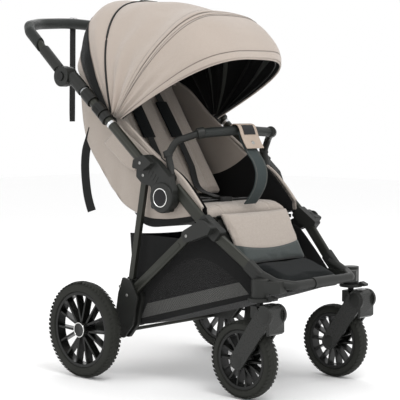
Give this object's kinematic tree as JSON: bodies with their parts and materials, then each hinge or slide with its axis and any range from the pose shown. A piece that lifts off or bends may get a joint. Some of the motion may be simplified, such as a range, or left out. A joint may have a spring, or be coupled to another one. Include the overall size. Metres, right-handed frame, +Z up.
{
  "type": "stroller",
  "caption": "Folding pushchair with a padded reclining seat, large sun canopy, tilting handle, mesh basket, swivelling front casters and spoked wheels.",
  "frame": {"origin": "on the ground under the middle of the object's box", "axes": "+Z up, -Y towards the front wheels, +X to the seated child's left"},
  "size_m": [0.611, 0.988, 1.0388],
  "materials": {
    "frame_metal": "satin black powder coat with a faint warm cast",
    "frame_plastic": "moulded black plastic with a fine spark-eroded texture",
    "wheel_plastic": "black moulded wheel plastic",
    "tyre_rubber": "dark grey rubber with a shallow tread",
    "canopy_fabric": "taupe woven canvas with twin stitched seams",
    "seat_fabric": "taupe melange fabric, lightly padded",
    "black_fabric": "black woven polyester and mesh",
    "webbing": "black ribbed webbing",
    "grip_leather": "black stitched leatherette",
    "strap_leather": "dark grey stitched leatherette",
    "steel": "zinc-plated steel"
  },
  "bodies": {
    "seat_frame": {"side_tubes": "frame_metal", "hub_brackets": "frame_plastic", "hub_covers": "frame_plastic", "frame_locks": "frame_plastic", "handle_joints": "frame_plastic", "seat_pan": "frame_plastic", "seat_cushion": "seat_fabric", "seat_side_panels": "seat_fabric", "harness_buckle": "webbing", "canopy_rear": "canopy_fabric", "canopy_main": "canopy_fabric", "basket": "black_fabric", "crotch_strap": "strap_leather", "recline_strap": "webbing"},
    "backrest": {"back_board": "frame_plastic", "back_cushion": "seat_fabric", "shoulder_straps": "webbing"},
    "leg_rest": {"leg_rest_board": "frame_plastic", "leg_rest_pad": "seat_fabric"},
    "handle": {"handle_tube": "frame_metal", "handle_grip": "grip_leather", "handle_arms": "frame_plastic", "wrist_strap": "webbing"},
    "tilt_button_left": {"tilt_button_left": "frame_plastic"},
    "tilt_button_right": {"tilt_button_right": "frame_plastic"},
    "fold_slider_left": {"fold_slider_left": "frame_plastic"},
    "fold_slider_right": {"fold_slider_right": "frame_plastic"},
    "buckle_button": {"buckle_button": "frame_plastic"},
    "bumper": {"bumper_bar": "frame_metal", "bumper_grip": "grip_leather"},
    "canopy_front": {"front_bow": "steel", "canopy_visor": "canopy_fabric"},
    "canopy_edge": {"visor_wire": "steel"},
    "front_frame": {"front_legs": "frame_metal", "leg_joint_blocks": "frame_plastic", "front_crossbar": "frame_metal", "corner_castings": "frame_plastic", "footrest": "black_fabric"},
    "swivel_lock_left": {"swivel_lock_left": "frame_plastic"},
    "swivel_lock_right": {"swivel_lock_right": "frame_plastic"},
    "rear_frame": {"rear_struts": "frame_metal", "rear_housings": "frame_plastic", "rear_axle_tube": "frame_metal", "rear_axle_pins": "steel"},
    "brace_links": {"braces": "frame_metal"},
    "brake": {"brake_pedal": "frame_plastic"},
    "caster_left": {"caster_crown_left": "frame_plastic"},
    "fork_left": {"suspension_arm_left": "frame_plastic", "fork_pins_left": "steel"},
    "front_wheel_left": {"front_tyre_left": "tyre_rubber", "front_rim_left": "wheel_plastic"},
    "rear_wheel_left": {"rear_tyre_left": "tyre_rubber", "rear_rim_left": "wheel_plastic"},
    "caster_right": {"caster_crown_right": "frame_plastic"},
    "fork_right": {"suspension_arm_right": "frame_plastic", "fork_pins_right": "steel"},
    "front_wheel_right": {"front_tyre_right": "tyre_rubber", "front_rim_right": "wheel_plastic"},
    "rear_wheel_right": {"rear_tyre_right": "tyre_rubber", "rear_rim_right": "wheel_plastic"}
  },
  "joints": [
    {"name": "frame_fold", "type": "hinge", "parent": "seat_frame", "child": "front_frame", "pos_m": [0, -0.124, 0.5], "axis": [1, 0, 0], "range_deg": [0, 90], "deforming": ["basket", "footrest"]},
    {"name": "rear_leg_fold", "type": "hinge", "parent": "seat_frame", "child": "rear_frame", "pos_m": [0, -0.055, 0.557], "axis": [1, 0, 0], "range_deg": [0, 58]},
    {"name": "brace_fold", "type": "hinge", "parent": "rear_frame", "child": "brace_links", "pos_m": [0, 0.007, 0.23], "axis": [1, 0, 0], "range_deg": [-15, 2]},
    {"name": "handle_tilt", "type": "hinge", "parent": "seat_frame", "child": "handle", "pos_m": [0, 0.246, 0.824], "axis": [1, 0, 0], "range_deg": [-40, 30], "deforming": ["wrist_strap"]},
    {"name": "backrest_recline", "type": "hinge", "parent": "seat_frame", "child": "backrest", "pos_m": [0, 0, 0.463], "axis": [-1, 0, 0], "range_deg": [0, 38], "deforming": ["shoulder_straps"]},
    {"name": "leg_rest_lift", "type": "hinge", "parent": "seat_frame", "child": "leg_rest", "pos_m": [0, -0.239, 0.452], "axis": [-1, 0, 0], "range_deg": [0, 50]},
    {"name": "bumper_swing", "type": "hinge", "parent": "seat_frame", "child": "bumper", "pos_m": [0, -0.135, 0.551], "axis": [1, 0, 0], "range_deg": [0, 60], "deforming": ["crotch_strap"]},
    {"name": "canopy_fold", "type": "hinge", "parent": "seat_frame", "child": "canopy_front", "pos_m": [0, 0.082, 0.698], "axis": [-1, 0, 0], "range_deg": [0, 50], "deforming": ["canopy_main", "canopy_visor"]},
    {"name": "visor_fold", "type": "hinge", "parent": "canopy_front", "child": "canopy_edge", "pos_m": [0, 0.082, 0.698], "axis": [-1, 0, 0], "range_deg": [0, 20], "deforming": ["canopy_visor"]},
    {"name": "brake_press", "type": "hinge", "parent": "rear_frame", "child": "brake", "pos_m": [0, 0.117, 0.132], "axis": [-1, 0, 0], "range_deg": [0, 12]},
    {"name": "buckle_press", "type": "slide", "parent": "seat_frame", "child": "buckle_button", "axis": [0, 0, -1], "range_m": [0, 0.0012], "stiffness_N_per_m": 300, "springref_m": -0.002},
    {"name": "fold_slide_left", "type": "slide", "parent": "seat_frame", "child": "fold_slider_left", "axis": [0, 0.77, 0.6381], "range_m": [0, 0.014], "stiffness_N_per_m": 400, "springref_m": -0.005},
    {"name": "tilt_button_left", "type": "slide", "parent": "handle", "child": "tilt_button_left", "axis": [-1, 0, 0], "range_m": [0, 0.003], "stiffness_N_per_m": 500, "springref_m": -0.002},
    {"name": "caster_swivel_left", "type": "hinge", "parent": "front_frame", "child": "caster_left", "pos_m": [0.19, -0.43, 0.3], "axis": [0, 0, 1], "continuous": true},
    {"name": "fork_suspension_left", "type": "hinge", "parent": "caster_left", "child": "fork_left", "pos_m": [0.19, -0.466, 0.222], "axis": [1, 0, 0], "range_deg": [0, 7], "stiffness_Nm_per_rad": 20, "springref_deg": -20.05},
    {"name": "front_wheel_spin_left", "type": "hinge", "parent": "fork_left", "child": "front_wheel_left", "pos_m": [0.19, -0.379, 0.1], "axis": [1, 0, 0], "continuous": true},
    {"name": "rear_wheel_spin_left", "type": "hinge", "parent": "rear_frame", "child": "rear_wheel_left", "pos_m": [0.2865, 0.117, 0.132], "axis": [1, 0, 0], "continuous": true},
    {"name": "swivel_lock_left", "type": "slide", "parent": "front_frame", "child": "swivel_lock_left", "axis": [0, 0, -1], "range_m": [0, 0.004]},
    {"name": "fold_slide_right", "type": "slide", "parent": "seat_frame", "child": "fold_slider_right", "axis": [0, 0.77, 0.6381], "range_m": [0, 0.014], "stiffness_N_per_m": 400, "springref_m": -0.005},
    {"name": "tilt_button_right", "type": "slide", "parent": "handle", "child": "tilt_button_right", "axis": [1, 0, 0], "range_m": [0, 0.003], "stiffness_N_per_m": 500, "springref_m": -0.002},
    {"name": "caster_swivel_right", "type": "hinge", "parent": "front_frame", "child": "caster_right", "pos_m": [-0.19, -0.43, 0.3], "axis": [0, 0, 1], "continuous": true},
    {"name": "fork_suspension_right", "type": "hinge", "parent": "caster_right", "child": "fork_right", "pos_m": [-0.19, -0.466, 0.222], "axis": [1, 0, 0], "range_deg": [0, 7], "stiffness_Nm_per_rad": 20, "springref_deg": -20.05},
    {"name": "front_wheel_spin_right", "type": "hinge", "parent": "fork_right", "child": "front_wheel_right", "pos_m": [-0.19, -0.379, 0.1], "axis": [1, 0, 0], "continuous": true},
    {"name": "rear_wheel_spin_right", "type": "hinge", "parent": "rear_frame", "child": "rear_wheel_right", "pos_m": [-0.2865, 0.117, 0.132], "axis": [1, 0, 0], "continuous": true},
    {"name": "swivel_lock_right", "type": "slide", "parent": "front_frame", "child": "swivel_lock_right", "axis": [0, 0, -1], "range_m": [0, 0.004]}
  ],
  "couplings": [
    {"joint": "rear_leg_fold", "follows": "frame_fold", "ratio": 0.625},
    {"joint": "brace_fold", "follows": "frame_fold", "ratio": -0.15},
    {"joint": "fold_slide_right", "follows": "fold_slide_left", "ratio": 1}
  ]
}
